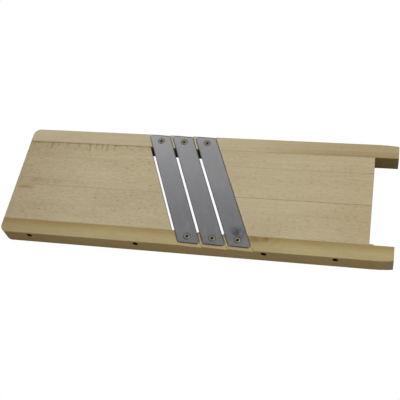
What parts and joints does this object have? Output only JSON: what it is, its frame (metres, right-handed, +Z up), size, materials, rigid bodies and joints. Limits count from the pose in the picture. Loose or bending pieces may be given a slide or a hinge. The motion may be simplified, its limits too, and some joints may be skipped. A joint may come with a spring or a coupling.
{
  "type": "mandoline slicer",
  "caption": "Flat wooden shredding board with slanting steel blades screwed across two side rails, slice slots between them, and an end notch that hooks over a tub's rim.",
  "frame": {"origin": "middle of the underside, on the surface that the board lies on", "axes": "+X along the board from the infeed end to the notched end, +Y across it towards the side where the blades lean back to the infeed end, +Z up out of the cutting face"},
  "size_m": [0.45, 0.15, 0.0215],
  "materials": {
    "rail_wood": "raw planed beech",
    "infeed_wood": "raw planed beech",
    "outfeed_wood": "raw planed beech",
    "blade_steel": "satin, brushed along the blade",
    "blade_screw_plating": "dull yellow zinc",
    "rail_screw_steel": "black phosphate"
  },
  "bodies": {
    "board": {"near_rail": "rail_wood", "far_rail": "rail_wood", "infeed_stave_1": "infeed_wood", "infeed_stave_2": "infeed_wood", "infeed_stave_3": "infeed_wood", "outfeed_stave_1": "outfeed_wood", "outfeed_stave_2": "outfeed_wood", "outfeed_stave_3": "outfeed_wood", "blade_1": "blade_steel", "blade_2": "blade_steel", "blade_3": "blade_steel", "near_rail_screw_1": "rail_screw_steel", "near_rail_screw_2": "rail_screw_steel", "near_rail_screw_3": "rail_screw_steel", "near_rail_screw_4": "rail_screw_steel", "far_rail_screw_1": "rail_screw_steel", "far_rail_screw_2": "rail_screw_steel", "far_rail_screw_3": "rail_screw_steel", "far_rail_screw_4": "rail_screw_steel"},
    "blade_1_near_screw": {"blade_1_near_screw": "blade_screw_plating"},
    "blade_1_far_screw": {"blade_1_far_screw": "blade_screw_plating"},
    "blade_2_near_screw": {"blade_2_near_screw": "blade_screw_plating"},
    "blade_2_far_screw": {"blade_2_far_screw": "blade_screw_plating"},
    "blade_3_near_screw": {"blade_3_near_screw": "blade_screw_plating"},
    "blade_3_far_screw": {"blade_3_far_screw": "blade_screw_plating"}
  },
  "joints": [
    {"name": "blade_1_near_screw_turn", "type": "hinge", "parent": "board", "child": "blade_1_near_screw", "pos_m": [0.00097, -0.06308, 0.02078], "axis": [0.0559, 0.0245, 0.9981], "range_deg": [0, 180]},
    {"name": "blade_1_far_screw_turn", "type": "hinge", "parent": "board", "child": "blade_1_far_screw", "pos_m": [-0.05539, 0.06532, 0.02078], "axis": [0.0559, 0.0245, 0.9981], "range_deg": [0, 180]},
    {"name": "blade_2_near_screw_turn", "type": "hinge", "parent": "board", "child": "blade_2_near_screw", "pos_m": [0.02959, -0.06308, 0.02078], "axis": [0.0559, 0.0245, 0.9981], "range_deg": [0, 180]},
    {"name": "blade_2_far_screw_turn", "type": "hinge", "parent": "board", "child": "blade_2_far_screw", "pos_m": [-0.02678, 0.06532, 0.02078], "axis": [0.0559, 0.0245, 0.9981], "range_deg": [0, 180]},
    {"name": "blade_3_near_screw_turn", "type": "hinge", "parent": "board", "child": "blade_3_near_screw", "pos_m": [0.0582, -0.06308, 0.02078], "axis": [0.0559, 0.0245, 0.9981], "range_deg": [0, 180]},
    {"name": "blade_3_far_screw_turn", "type": "hinge", "parent": "board", "child": "blade_3_far_screw", "pos_m": [0.00184, 0.06532, 0.02078], "axis": [0.0559, 0.0245, 0.9981], "range_deg": [0, 180]}
  ]
}
